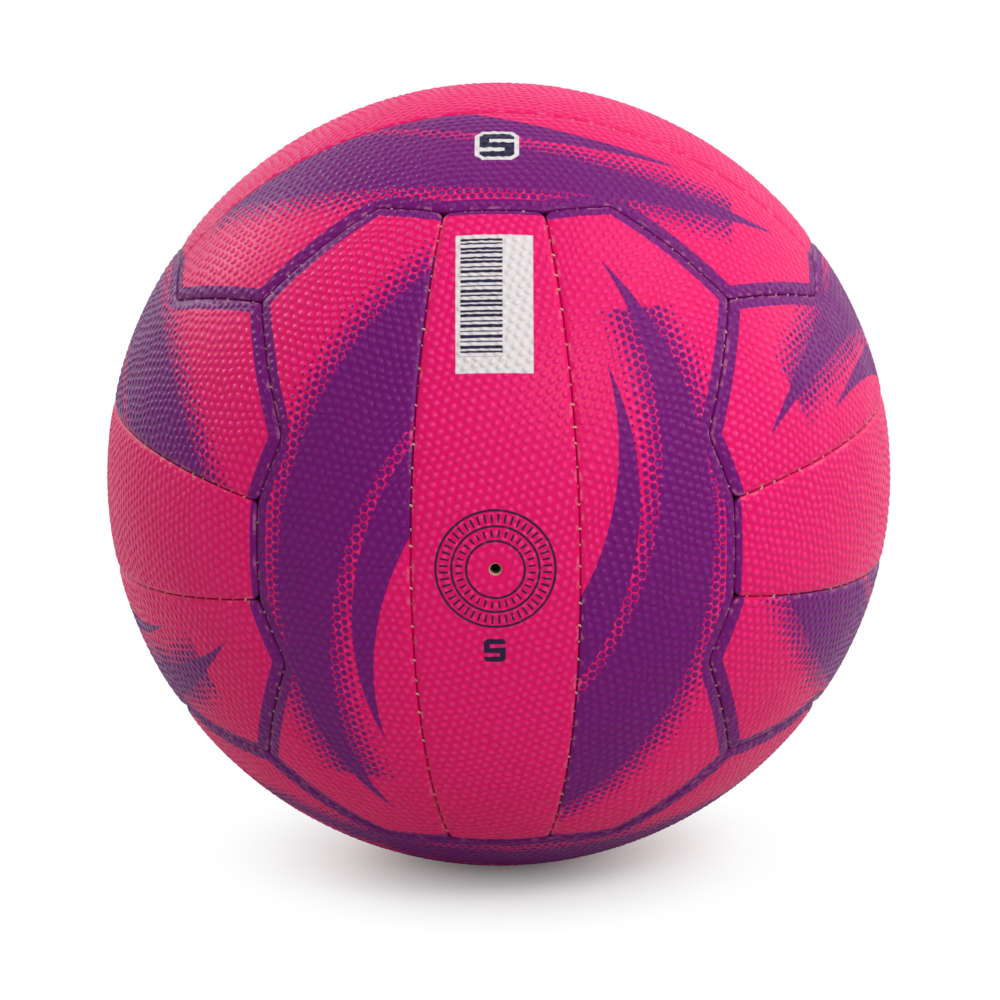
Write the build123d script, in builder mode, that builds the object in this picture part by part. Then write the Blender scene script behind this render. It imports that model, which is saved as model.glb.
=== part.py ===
"""Size 5 netball: 18 hand-stitched panels over a rubber bladder with a needle valve.

The origin is the ball's centre, +Z is up and the valve looks along -Y. The ball is laid out on
a cube: each of its six faces carries three strips, a centre panel between two side panels, and
the strips of neighbouring faces run crosswise. All six centre panels are alike, and so are all
twelve side panels, so one of each is modelled on the front face and then turned into place.
"""

import os
from math import floor, pi, radians, tan

from build123d import *

# Ball and seam pattern, with angles seen from the ball's centre
ball_circumference = 700.0
strip_side_angle = 11.9  # from the middle of a centre panel out to its long seam
strip_end_angle = 53.9  # from the middle of a centre panel up to its end seam
kink_side_angle = 28.8  # from the middle of a face out to the bend of its end seam
kink_end_angle = 56.9  # from the middle of a face up to the bend of its end seam

# Panels: a rubber skin on a lining of glued cloth, both turned down into the seams
cover_thickness = 1.0
lining_thickness = 1.2
bend_inside_radius = 0.8  # inside the skin where it turns down
corner_inside_radius = 0.8  # inside the lining at a panel's corner

# Stitches: threads lie along both sides of a seam and cross it through punched holes
thread_width = 0.8  # where it lies, pressed square
stitch_diameter = 0.7  # where it crosses, drawn thin
stitch_hole_clearance = 0.05
stitch_pitch = 5.5
stitch_end_distance = 4.0  # from a panel's corner to its first stitch
thread_clearance = 0.05  # from a lying thread to the lining beside and above it
thread_cushion = 0.7  # from a lying thread to the bladder below it

# Bladder and valve
bladder_wall = 0.7
cover_needle_hole = 3.6
lining_needle_hole = 3.0  # also through the patch
glue_thickness = 0.05  # between the lining and the patch
patch_thickness = 0.5
patch_diameter = 36.0
boot_flange_diameter = 30.0
boot_stem_diameter = 12.0
boot_stem_length = 23.0  # below the bladder's outside
stem_clearance = 0.05  # round the stem in the bladder
core_diameter = 6.0
core_clearance = 0.05  # round the core in the boot
core_head_diameter = 9.0
core_head_height = 2.5
core_foot_diameter = 7.0
core_foot_height = 1.5
needle_guide_diameter = 2.2
needle_guide_depth = 15.0
slit_width = 3.0
slit_opening = 0.1

ball_radius = ball_circumference / (2 * pi)
lining_outer_radius = ball_radius - cover_thickness
lining_inner_radius = lining_outer_radius - lining_thickness
laminate = cover_thickness + lining_thickness
cover_edge_radius = bend_inside_radius + cover_thickness
cover_corner_radius = corner_inside_radius + laminate
stitch_radius = lining_inner_radius - thread_clearance - thread_width / 2
thread_offset = laminate + thread_clearance + thread_width / 2
bladder_radius = stitch_radius - thread_width / 2 - thread_cushion
stitch_hole_radius = stitch_diameter / 2 + stitch_hole_clearance
patch_outer_radius = lining_inner_radius - glue_thickness
patch_inner_radius = patch_outer_radius - patch_thickness
boot_end = bladder_radius - boot_stem_length  # heights of the valve count from the ball's centre
core_head_base = patch_inner_radius - core_head_height
core_end = boot_end - core_foot_height
needle_guide_end = patch_inner_radius - needle_guide_depth

upward = (Align.CENTER, Align.CENTER, Align.MIN)
front = Vector(0, -1, 0)
block_floor = ball_radius / 3
block_top = ball_radius + cover_thickness


def on_front_face(side_angle, end_angle):
    """Corner at these angles to the left of the front face's middle and up from it."""
    return Vector(-tan(radians(side_angle)), -1, tan(radians(end_angle))).normalized()


def on_left_face(side_angle, end_angle):
    """The same corner of the left face, whose strips run front to back."""
    return Vector(-1, -tan(radians(end_angle)), tan(radians(side_angle))).normalized()


def mirrored_in_height(corners):
    """The corners below the middle of the ball, in reverse order."""
    return [Vector(corner.X, corner.Y, -corner.Z) for corner in reversed(corners)]


def side_corners():
    """Corners of the front face's left panel, anticlockwise from its upper left one."""
    cube_corner = Vector(-1, -1, 1).normalized()
    waist = [
        cube_corner,
        on_left_face(kink_side_angle, kink_end_angle),
        on_left_face(strip_side_angle, strip_end_angle),
    ]
    end = [
        on_front_face(strip_side_angle, strip_end_angle),
        on_front_face(kink_side_angle, kink_end_angle),
    ]
    return waist + mirrored_in_height(waist) + mirrored_in_height(end) + end


def centre_corners():
    """Corners of the front face's centre panel, anticlockwise from its upper left one."""
    left = [on_front_face(strip_side_angle, strip_end_angle)]
    right = [on_front_face(-strip_side_angle, strip_end_angle)]
    return left + mirrored_in_height(left) + mirrored_in_height(right) + right


def seam_walls(corners):
    """Inward normal of the seam that runs from each corner to the next."""
    following = corners[1:] + corners[:1]
    return [here.cross(there).normalized() for here, there in zip(corners, following)]


def wall_meeting(before, after, inset, height):
    """Where two seam walls, each moved inward by the inset, cross a level of the front face."""
    spread = after.cross(front) + front.cross(before)
    return (spread * inset + before.cross(after) * height) / before.dot(after.cross(front))


def panel_block(corners, inset):
    """Block between a panel's seam walls, moved inward, with its corners rounded to suit."""
    walls = seam_walls(corners)
    pairs = list(zip(walls[-1:] + walls[:-1], walls))
    low = [wall_meeting(before, after, inset, block_floor) for before, after in pairs]
    high = [wall_meeting(before, after, inset, block_top) for before, after in pairs]
    outlines = [low, high] + [
        (low[index - 1], low[index], high[index], high[index - 1]) for index in range(len(low))
    ]
    flat_walled = Solid(Shell([Face(Wire.make_polygon(outline)) for outline in outlines]))
    with BuildPart() as block:
        add(flat_walled)
        for corner, (before, after), foot, head in zip(corners, pairs, low, high):
            bulges = before.cross(after).dot(corner) > 0
            rounding = cover_corner_radius - inset if bulges else cover_corner_radius + inset
            fillet(block.edges().sort_by_distance((foot + head) / 2)[0], rounding)
    return block.part


def stitch_places(here, there):
    """Planes across the seam between two corners, one for each stitch."""
    seam_angle = here.get_angle(there)
    pitch_angle = stitch_pitch * 360 / ball_circumference
    free_angle = seam_angle - 2 * stitch_end_distance * 360 / ball_circumference
    last = floor(free_angle / pitch_angle)
    across = here.cross(there).normalized()
    first_angle = (seam_angle - last * pitch_angle) / 2
    turn = Axis((0, 0, 0), across)
    directions = [here.rotate(turn, first_angle + index * pitch_angle) for index in range(last + 1)]
    return [Plane(origin=direction * stitch_radius, z_dir=across) for direction in directions]


def all_stitch_places(corners):
    """Every stitch round a panel."""
    following = corners[1:] + corners[:1]
    return [place for pair in zip(corners, following) for place in stitch_places(*pair)]


def lining_space(corners):
    """The hollow under a panel's skin, down to the ball's centre."""
    block = panel_block(corners, cover_thickness)
    with BuildPart() as space:
        add(block)
        Sphere(lining_outer_radius, mode=Mode.INTERSECT)
        fillet(space.faces().filter_by(GeomType.SPHERE).edges(), bend_inside_radius)
    return space.part


def cover_panel(corners):
    """Rubber skin of one panel, with its turned-down edges and their stitch holes."""
    block = panel_block(corners, 0)
    hollow = lining_space(corners)
    with BuildPart() as cover:
        add(block)
        Sphere(ball_radius, mode=Mode.INTERSECT)
        fillet(cover.faces().filter_by(GeomType.SPHERE).edges(), cover_edge_radius)
        add(hollow, mode=Mode.SUBTRACT)
        Sphere(bladder_radius, mode=Mode.SUBTRACT)
        with Locations(*all_stitch_places(corners)):
            Cylinder(stitch_hole_radius, 2 * thread_offset, mode=Mode.SUBTRACT)
    return cover.part


def panel_lining(corners):
    """Cloth lining of one panel, which fills the skin's bend and backs its edges."""
    space = lining_space(corners)
    inner_block = panel_block(corners, laminate)
    with BuildPart() as inside:
        add(inner_block)
        Sphere(lining_inner_radius, mode=Mode.INTERSECT)
    with BuildPart() as lining:
        add(space)
        add(inside.part, mode=Mode.SUBTRACT)
        Sphere(bladder_radius, mode=Mode.SUBTRACT)
        with Locations(*all_stitch_places(corners)):
            Cylinder(stitch_hole_radius, 2 * thread_offset, mode=Mode.SUBTRACT)
    return lining.part


def seam_thread(seams):
    """Threads of straight seams: a run along each side of a seam and the stitches across it."""
    end_angle = thread_width * 360 / ball_circumference
    with BuildPart() as thread:
        for here, there in seams:
            places = stitch_places(here, there)
            across = places[0].z_dir
            turn = Axis((0, 0, 0), across)
            start = places[0].origin.rotate(turn, -end_angle)
            run_angle = start.get_angle(places[-1].origin) + end_angle
            with BuildSketch(Plane(origin=(0, 0, 0), x_dir=start, z_dir=start.cross(across))):
                with Locations((stitch_radius, -thread_offset), (stitch_radius, thread_offset)):
                    Rectangle(thread_width, thread_width)
            revolve(axis=turn, revolution_arc=run_angle)
            with Locations(*places):
                Cylinder(stitch_diameter / 2, 2 * thread_offset)
    return thread.part


def domed_disc(diameter, outer_radius, inner_radius):
    """Round patch of a spherical layer, centred on the valve."""
    with BuildPart() as disc:
        with Locations(Plane.XZ):
            Cylinder(diameter / 2, outer_radius, align=upward)
        Sphere(outer_radius, mode=Mode.INTERSECT)
        Sphere(inner_radius, mode=Mode.SUBTRACT)
    return disc.part


def with_needle_hole(piece, diameter):
    """The piece with a hole for the inflating needle."""
    with BuildPart() as holed:
        add(piece)
        with Locations(Plane.XZ.offset(ball_radius)):
            Hole(diameter / 2)
    return holed.part


def turned(side, normal):
    """Place on another face for a piece modelled on the left of the front face."""
    return Plane(origin=(0, 0, 0), x_dir=-side, z_dir=side.cross(normal)).location


def save(name, piece):
    """Write one piece under its name."""
    piece.label = name
    export_step(piece, f"parts/{name}.step")


# One panel of each kind, with its lining, and the threads of a side panel's two long seams
side_outline = side_corners()
waist_corners = side_outline[:6]
side_cover = cover_panel(side_outline)
side_lining = panel_lining(side_outline)
centre_cover = cover_panel(centre_corners())
centre_lining = panel_lining(centre_corners())
strip_thread = seam_thread([centre_corners()[:2]])
edge_thread = seam_thread(zip(waist_corners, waist_corners[1:]))

with BuildPart() as bladder:
    Sphere(bladder_radius)
    Sphere(bladder_radius - bladder_wall, mode=Mode.SUBTRACT)
    with Locations(Plane.XZ):
        Cylinder(boot_stem_diameter / 2 + stem_clearance, ball_radius, align=upward, mode=Mode.SUBTRACT)

boot_flange = domed_disc(boot_flange_diameter, patch_inner_radius, bladder_radius)
with BuildPart() as valve_boot:
    add(boot_flange)
    with Locations(Plane.XZ.offset(boot_end)):
        Cylinder(boot_stem_diameter / 2, boot_stem_length, align=upward)
    with Locations(Plane.XZ.offset(patch_inner_radius)):
        CounterBoreHole(
            core_diameter / 2 + core_clearance,
            core_head_diameter / 2 + core_clearance,
            core_head_height,
        )

with BuildPart() as valve_core:
    with Locations(Plane.XZ.offset(core_end)):
        Cylinder(core_foot_diameter / 2, core_foot_height, align=upward)
    with Locations(Plane.XZ.offset(boot_end)):
        Cylinder(core_diameter / 2, core_head_base - boot_end, align=upward)
    with Locations(Plane.XZ.offset(core_head_base)):
        Cylinder(core_head_diameter / 2, core_head_height, align=upward)
    Sphere(patch_inner_radius, mode=Mode.INTERSECT)
    with Locations(Plane.XZ.offset(patch_inner_radius)):
        Hole(needle_guide_diameter / 2, depth=needle_guide_depth)
    with Locations(Plane.XZ.offset(core_end)):
        Box(slit_width, slit_opening, needle_guide_end - core_end, align=upward, mode=Mode.SUBTRACT)

os.makedirs("parts", exist_ok=True)

left, right = Vector(-1, 0, 0), Vector(1, 0, 0)
back = -front
lower, upper = Vector(0, 0, -1), Vector(0, 0, 1)
faces = {
    "front": (front, {"left": left, "right": right}),
    "back": (back, {"left": left, "right": right}),
    "left": (left, {"upper": upper, "lower": lower}),
    "right": (right, {"upper": upper, "lower": lower}),
    "top": (upper, {"front": front, "back": back}),
    "bottom": (lower, {"front": front, "back": back}),
}
for face, (normal, sides) in faces.items():
    places = {side: turned(direction, normal) for side, direction in sides.items()}
    for side, place in places.items():
        save(f"{face}_{side}_panel", side_cover.moved(place))
        save(f"{face}_{side}_lining", side_lining.moved(place))
        save(f"{face}_{side}_edge_thread", edge_thread.moved(place))
    with BuildPart() as strip_threads:
        for place in places.values():
            add(strip_thread.moved(place))
    save(f"{face}_strip_threads", strip_threads.part)
    if face == "front":
        save("front_centre_panel", with_needle_hole(centre_cover, cover_needle_hole))
        save("front_centre_lining", with_needle_hole(centre_lining, lining_needle_hole))
    else:
        save(f"{face}_centre_panel", centre_cover.moved(place))
        save(f"{face}_centre_lining", centre_lining.moved(place))

valve_patch = domed_disc(patch_diameter, patch_outer_radius, patch_inner_radius)
save("valve_patch", with_needle_hole(valve_patch, lining_needle_hole))
save("valve_boot", valve_boot.part)
save("valve_core", valve_core.part)
save("bladder", bladder.part)
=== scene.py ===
# %% [markdown]
# # A stitched netball
# The ball is eighteen pebbled rubber panels sewn together round an air-filled bladder. The packed
# model already holds every piece in its place, so this lesson only dresses it: new skins for the
# panels, thread for the seams, printed colour, soft light and a camera. Shapes are worked out in
# millimetres from the ball's centre and turned into Blender's metres when a mesh is made.

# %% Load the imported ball
import math
from functools import reduce

import bpy
import numpy as np
from mathutils import Matrix, Vector


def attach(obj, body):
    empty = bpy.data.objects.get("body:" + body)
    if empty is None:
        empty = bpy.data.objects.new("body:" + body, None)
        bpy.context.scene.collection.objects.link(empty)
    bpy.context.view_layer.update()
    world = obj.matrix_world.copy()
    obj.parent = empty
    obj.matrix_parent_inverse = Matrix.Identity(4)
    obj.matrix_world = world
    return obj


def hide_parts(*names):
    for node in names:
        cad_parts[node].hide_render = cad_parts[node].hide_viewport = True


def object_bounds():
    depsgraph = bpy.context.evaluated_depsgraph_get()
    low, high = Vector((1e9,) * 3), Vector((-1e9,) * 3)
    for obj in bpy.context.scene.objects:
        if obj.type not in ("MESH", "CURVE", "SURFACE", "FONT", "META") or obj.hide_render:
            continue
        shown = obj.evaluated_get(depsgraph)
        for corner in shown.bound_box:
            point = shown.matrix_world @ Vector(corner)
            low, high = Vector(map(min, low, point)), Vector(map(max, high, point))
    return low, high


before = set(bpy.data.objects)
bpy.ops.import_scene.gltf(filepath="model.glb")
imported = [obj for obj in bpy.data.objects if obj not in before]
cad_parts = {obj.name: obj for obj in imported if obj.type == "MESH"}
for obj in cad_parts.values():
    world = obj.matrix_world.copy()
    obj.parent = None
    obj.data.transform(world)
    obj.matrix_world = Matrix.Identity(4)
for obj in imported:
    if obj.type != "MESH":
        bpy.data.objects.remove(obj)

cad_low, cad_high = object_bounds()
MM = 0.001
ball_radius = (cad_high.x - cad_low.x) / 2 / MM
print(f"ball radius {ball_radius:.2f} mm, {len(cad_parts)} nodes")

# %% [markdown]
# ## Camera
# The photograph looks slightly down on the ball through a long lens. A long lens far away keeps the
# ball's outline a true circle, so distance and focal length are chosen as a pair: the distance sets
# how far round the sides one sees, and the focal length then sets the size in the frame.

# %% Camera
frame_pixels = 1000
ball_pixels = 391.96  # radius of the ball's outline in the frame
ball_at_pixel = (498.8, 474.1)
camera_distance = 16.39  # in ball radii
camera_elevation, camera_azimuth, camera_roll = 13.56, 0.57, -0.5
sensor = 36.0

focal_pixels = ball_pixels * math.sqrt(camera_distance**2 - 1)
turn = (
    Matrix.Rotation(math.radians(camera_azimuth), 3, "Z")
    @ Matrix.Rotation(math.radians(90 - camera_elevation), 3, "X")
    @ Matrix.Rotation(math.radians(camera_roll), 3, "Z")
)
away = camera_distance * ball_radius * MM
aside = Vector(
    (
        (frame_pixels / 2 - ball_at_pixel[0]) / focal_pixels * away,
        (ball_at_pixel[1] - frame_pixels / 2) / focal_pixels * away,
        away,
    )
)
camera_data = bpy.data.cameras.new("camera")
camera_data.lens = focal_pixels / frame_pixels * sensor
camera_data.sensor_width = sensor
camera = bpy.data.objects.new("camera", camera_data)
camera.matrix_world = Matrix.Translation(turn @ aside) @ turn.to_4x4()
bpy.context.scene.collection.objects.link(camera)
bpy.context.scene.camera = camera
bpy.context.scene.view_settings.view_transform = "Standard"
print(f"lens {camera_data.lens:.0f} mm at {away:.2f} m")

# %% [markdown]
# ## Seam pattern
# All seams are great circles, like the edges of a cube drawn on a ball, so a seam is just the pair
# of corners that it joins. Two outlines are enough: the centre panel and the left side panel of the
# front face. A turn that swaps the ball's axes carries them to the other faces.

# %% Corners of the two kinds of panel
strip_corner = (11.9, 53.9)  # degrees from the middle of a face: across its strips, along them
kink_corner = (28.8, 56.9)


def unit(vectors):
    """Vectors brought to length one."""
    vectors = np.asarray(vectors, float)
    return vectors / np.linalg.norm(vectors, axis=-1, keepdims=True)


def front_corner(side, end, hand=-1, upright=1):
    """Corner of the front face: tangents of its angles across and along, one unit forward."""
    return unit([hand * math.tan(math.radians(side)), -1, upright * math.tan(math.radians(end))])


def left_corner(side, end, upright=1):
    """The same corner on the left face, whose strips run from front to back."""
    return unit([-1, -math.tan(math.radians(end)), upright * math.tan(math.radians(side))])


def chain(corners):
    """Seams from each corner to the next."""
    return list(zip(corners[:-1], corners[1:]))


cube_top, cube_bottom = unit([-1, -1, 1]), unit([-1, -1, -1])
waist_top = [cube_top, left_corner(*kink_corner), left_corner(*strip_corner)]
waist_bottom = [left_corner(*strip_corner, -1), left_corner(*kink_corner, -1), cube_bottom]
waist_seams = chain(waist_top + waist_bottom)
top_end_seams = chain([cube_top, front_corner(*kink_corner), front_corner(*strip_corner)])
bottom_end_seams = chain(
    [cube_bottom, front_corner(*kink_corner, -1, -1), front_corner(*strip_corner, -1, -1)]
)
strip_seam = (front_corner(*strip_corner), front_corner(*strip_corner, -1, -1))
right_strip_seam = (front_corner(*strip_corner, 1), front_corner(*strip_corner, 1, -1))
top_strip_seam = (strip_seam[0], right_strip_seam[0])
bottom_strip_seam = (strip_seam[1], right_strip_seam[1])
print(f"a long strip seam is {ball_radius * math.acos(strip_seam[0] @ strip_seam[1]):.1f} mm")

# %% [markdown]
# ## How far is a point from the seam?
# Nearly every detail of a panel depends on one number: the distance to its edge. One seam's distance
# is easy, since a great circle is a plane through the centre. The edge of a whole panel is then the
# smallest of these, and the corners are rounded by adding the shortfalls of two seams as the two
# sides of a right triangle.

# %% Distances to a seam and round a corner
corner_round = 2.6  # where a long strip seam meets the end seams
kink_round = 1.1  # at the wider corners


def seam_distance(points, seam, centre):
    """Ball radius times the angle from the seam's plane, positive on the panel's side."""
    normal = unit(np.cross(*seam))
    normal = normal * np.sign(normal @ centre)
    return ball_radius * np.arcsin(np.clip(points @ normal, -1, 1))


def meet(first, second, rounding):
    """Inside both edges: the smaller distance, less the diagonal of the two shortfalls."""
    shortfall = np.hypot(np.maximum(rounding - first, 0), np.maximum(rounding - second, 0))
    return np.maximum(rounding, np.minimum(first, second)) - shortfall


def join(first, second, rounding):
    """Inside either edge: the larger distance, with the inner corner filled in."""
    overlap = np.hypot(np.maximum(rounding + first, 0), np.maximum(rounding + second, 0))
    return np.minimum(-rounding, np.maximum(first, second)) + overlap


print(f"corners are rounded by {corner_round} and {kink_round} mm")

# %% [markdown]
# ## Two kinds of panel
# A kind of panel is a list of seams and a rule that puts their distances together. At a corner that
# points outwards a place has to be inside both seams, and where the waist is drawn in, inside either.
# The border leaves out the long seams of the centre strip, because the printed band and the deeper
# shoulder follow only the others.

# %% The two outlines
side_turn = math.radians(24)  # from the front to the middle of the side panel


class SidePanel:
    """The left panel of the front face: ten corners, drawn in at the waist."""

    seams = waist_seams + top_end_seams + bottom_end_seams + [strip_seam]
    centre = unit([-math.sin(side_turn), -math.cos(side_turn), 0])
    half_size = (118.0, 46.0)  # of the flat sheet, along and across
    needle_hole = 0.0

    @classmethod
    def border(cls, points):
        """Distance to the seams that lie on the cube's edges."""
        waist = [seam_distance(points, seam, cls.centre) for seam in waist_seams]
        middle = np.minimum(np.minimum(waist[1], waist[2]), waist[3])
        inside = join(join(waist[0], middle, kink_round), waist[4], kink_round)
        for end in (top_end_seams, bottom_end_seams):
            outer, inner = [seam_distance(points, seam, cls.centre) for seam in end]
            inside = meet(inside, meet(outer, inner, kink_round), kink_round)
        return inside

    @classmethod
    def edge(cls, points):
        """Distance to the panel's whole edge."""
        return meet(cls.border(points), seam_distance(points, strip_seam, cls.centre), corner_round)


class CentrePanel:
    """The centre panel of the front face: four corners."""

    seams = [strip_seam, right_strip_seam, top_strip_seam, bottom_strip_seam]
    centre = np.array([0.0, -1.0, 0.0])
    half_size = (108.0, 26.0)
    needle_hole = 0.0

    @classmethod
    def border(cls, points):
        """Distance to the two end seams, which lie on the cube's edges."""
        return np.minimum(*[seam_distance(points, seam, cls.centre) for seam in cls.seams[2:]])

    @classmethod
    def edge(cls, points):
        """Distance to the panel's whole edge."""
        sides = [seam_distance(points, seam, cls.centre) for seam in cls.seams[:2]]
        return meet(cls.border(points), np.minimum(*sides), corner_round)


class ValvePanel(CentrePanel):
    """The centre panel with the hole for the inflating needle."""

    needle_hole = 1.8


print("panels:", len(SidePanel.seams), "and", len(CentrePanel.seams), "seams")

# %% [markdown]
# ## Stitches
# A waxed thread crosses each seam every few millimetres and pulls the two edges down a little. The
# same places serve twice: the panels are dented there, and later the thread is laid through them.

# %% Places of the stitches
stitch_pitch, stitch_end_distance = 5.5, 4.0
stitch_stray, stray_step = 0.6, 2.4  # a hand does not space them evenly
dent_length, dent_width = 0.9, 1.1


def stitch_distances(seam):
    """Places a pitch apart round the seam's middle, each with a stray that is a sine of its place."""
    length = ball_radius * math.acos(np.clip(seam[0] @ seam[1], -1, 1))
    count = math.floor((length - 2 * stitch_end_distance) / stitch_pitch)
    place = np.arange(count + 1) - count / 2
    return length / 2 + place * stitch_pitch + stitch_stray * np.sin(stray_step * place)


def distance_along(points, seam):
    """Ball radius times the angle from the seam's first corner, measured in the seam's plane."""
    normal = unit(np.cross(*seam))
    return ball_radius * np.arctan2(points @ np.cross(normal, seam[0]), points @ seam[0])


def stitch_dent(points, kind):
    """A bell-shaped dent from 0 to 1 in the panel's edge at each stitch."""
    dent = np.zeros(len(points))
    for seam in kind.seams:
        places = stitch_distances(seam)
        along = distance_along(points, seam)
        nearest = np.round((along - places.mean()) / stitch_pitch + (len(places) - 1) / 2)
        gap = along - places[np.clip(nearest, 0, len(places) - 1).astype(int)]
        across = seam_distance(points, seam, kind.centre)
        dent = np.maximum(dent, np.exp(-((gap / dent_length) ** 2) - (across / dent_width) ** 2))
    return dent


print("stitches on a long seam:", len(stitch_distances(strip_seam)))

# %% [markdown]
# ## The flat sheet
# Rubber is embossed and printed flat and cut afterwards. So each panel has flat coordinates too, along
# it and across it from its middle, like longitude and latitude. Blender could unwrap a finished mesh,
# but it is simpler to start flat and bend the sheet over the ball.

# %% From the flat sheet to the ball
probe = 0.05  # step that measures a slope
gentlest = 0.2  # a slope's square is taken as no less
newton_steps = 4


def panel_axes(kind):
    """Rows: towards the panel's middle, along it (up) and across it (to the left)."""
    along = np.array([0.0, 0.0, 1.0])
    return np.array([kind.centre, along, np.cross(along, kind.centre) * -1])


def on_ball(places, kind):
    """Flat sheet to unit sphere: x is the angle along the panel, y the angle across it."""
    lon, lat = places.T / ball_radius
    local = np.stack([np.cos(lat) * np.cos(lon), np.cos(lat) * np.sin(lon), np.sin(lat)], axis=-1)
    return local @ panel_axes(kind)


def sheet_edge(places, kind):
    """Distance from places on the flat sheet to the panel's edge."""
    return kind.edge(on_ball(places, kind))


def slide_to(places, target, kind):
    """Newton's steps down the slope of the edge distance until it reaches the target."""
    for _ in range(newton_steps):
        here = sheet_edge(places, kind)
        ahead = [sheet_edge(places + step, kind) for step in ([probe, 0], [0, probe])]
        slope = np.stack([there - here for there in ahead], axis=-1) / probe
        steep = np.maximum((slope**2).sum(-1, keepdims=True), gentlest)
        places = places - slope * np.clip(here - target, -1, 1)[:, None] / steep
    return places


print(f"a side panel is {sheet_edge(np.zeros((1, 2)), SidePanel)[0]:.1f} mm from its middle to its edge")

# %% [markdown]
# ## Pebbles
# The rubber is embossed with round pebbles in a hexagonal lattice. Bump mapping could fake them, but
# they stand out along the outline and catch the light one by one, so here they are real. Slow waves
# bend the rows and each pebble strays a little.

# %% Strays, waves and crowns
pebble_pitch, pebble_height, pebble_radius = 2.75, 0.27, 1.04
pebble_stray = 0.21  # how far a pebble may sit from its place in the row
pebble_sizes, crown_power = (0.72, 1.0), 1.4
steps_per_pebble = 5
lattice_step = pebble_pitch / steps_per_pebble
table_size = (97, 89)  # pebbles along the rows before the random values repeat
cell_corners = [(0, 0), (0, 1), (1, 0), (1, 1)]
wave_count, wave_lengths, wave_push = 6, (11, 26), 0.17


def nearby_pebbles(i, j):
    """Numbers of the four pebbles round each lattice point, along both directions of the rows."""
    low_i, low_j = i // steps_per_pebble, j // steps_per_pebble
    return [(low_i + step_i, low_j + step_j) for step_i, step_j in cell_corners]


def from_table(table, pebble_i, pebble_j):
    """Each pebble's own entry in a table of random values."""
    return table[pebble_i % table_size[0], pebble_j % table_size[1]]


def pebble_strays(i, j, random):
    """Random step of each pebble, shared out smoothly among the points between four pebbles."""
    steps = random.normal(0, pebble_stray, (*table_size, 2))
    parts = (i / steps_per_pebble % 1, j / steps_per_pebble % 1)
    weights = [(1 - share, share) for share in ((3 - 2 * part) * part**2 for part in parts)]
    total = np.zeros((*i.shape, 2))
    for (step_i, step_j), pebble in zip(cell_corners, nearby_pebbles(i, j)):
        total += from_table(steps, *pebble) * (weights[0][step_i] * weights[1][step_j])[..., None]
    return total


def slow_waves(places, random):
    """Long sine waves in random directions, which bend the rows of pebbles."""
    bent = places.copy()
    for _ in range(wave_count):
        heading, phase = random.uniform(0, 2 * math.pi, 2)
        length = random.uniform(*wave_lengths)
        push = random.normal(0, wave_push, 2)
        across = places @ [math.cos(heading), math.sin(heading)]
        bent += np.sin(across * 2 * math.pi / length + phase)[:, None] * push
    return bent


def pebble_crowns(i, j, random):
    """Height from 0 to 1: one less the squared distance to the nearest pebble, to a power."""
    sizes = random.uniform(*pebble_sizes, table_size)
    size, nearest = np.ones(i.shape), np.full(i.shape, np.inf)
    for pebble_i, pebble_j in nearby_pebbles(i, j):
        away_i, away_j = i - pebble_i * steps_per_pebble, j - pebble_j * steps_per_pebble
        away = lattice_step * np.sqrt(away_i**2 + away_i * away_j + away_j**2)
        size = np.where(away < nearest, from_table(sizes, pebble_i, pebble_j), size)
        nearest = np.minimum(nearest, away)
    return size * np.clip(1 - (nearest / pebble_radius) ** 2, 0, 1) ** crown_power


print(f"lattice step {lattice_step:.2f} mm")

# %% [markdown]
# ## Cutting the sheet
# The lattice is laid over the whole panel, and points past the line where its edge begins to bend are
# dropped. That leaves a ragged border, made of the triangles' edges that have no neighbour. The next
# steps pull it straight and carry it round to the back.

# %% Lay the lattice and trim it to the panel
edge_round = 0.95  # the edge bends down over this distance
hole_round = 0.45
trim_slack = 0.35 * lattice_step  # points this little past the line are kept and pulled back


def lattice_triangles(keep):
    """Two triangles for each cell, where all corners are kept, and the numbers of the points used."""
    number = np.where(keep, np.cumsum(keep).reshape(keep.shape) - 1, -1)
    a, b, c, d = number[:-1, :-1], number[1:, :-1], number[:-1, 1:], number[1:, 1:]
    triangles = np.concatenate([np.stack([a, b, c], -1), np.stack([b, d, c], -1)]).reshape(-1, 3)
    used, triangles = np.unique(triangles[(triangles >= 0).all(1)], return_inverse=True)
    return used, triangles.reshape(-1, 3)


def border_edges(triangles):
    """Edges of triangles that no neighbour follows the other way."""
    edges = np.concatenate([triangles[:, [0, 1]], triangles[:, [1, 2]], triangles[:, [2, 0]]])
    count = triangles.max() + 1
    forward, backward = edges[:, 0] * count + edges[:, 1], edges[:, 1] * count + edges[:, 0]
    return edges[~np.isin(forward, backward)]


def pebbled_sheet(kind, random):
    """Triangular lattice trimmed to the panel: places, rows, crowns, triangles and border edges."""
    heading = random.uniform(0, math.pi / 3)
    reach = int((kind.half_size[0] + kind.half_size[1]) / lattice_step)
    i, j = np.meshgrid(np.arange(-reach, reach), np.arange(-reach, reach), indexing="ij")
    first, second = (
        lattice_step * np.array([math.cos(angle), math.sin(angle)])
        for angle in (heading, heading + math.pi / 3)
    )
    places = i[..., None] * first + j[..., None] * second
    near = (np.abs(places) < kind.half_size).all(-1)
    places = np.where(near[..., None], places + pebble_strays(i, j, random), 0)
    places[near] = slow_waves(places[near], random)
    keep = near.copy()
    keep[near] = sheet_edge(places[near], kind) > edge_round - trim_slack
    if kind.needle_hole:
        keep &= np.hypot(places[..., 0], places[..., 1]) > kind.needle_hole + hole_round - trim_slack
    crown = pebble_crowns(i, j, random)
    used, triangles = lattice_triangles(keep)
    rows = np.stack([i, j], -1)[keep][used] / steps_per_pebble
    return places[keep][used], rows, crown[keep][used], triangles, border_edges(triangles)


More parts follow.
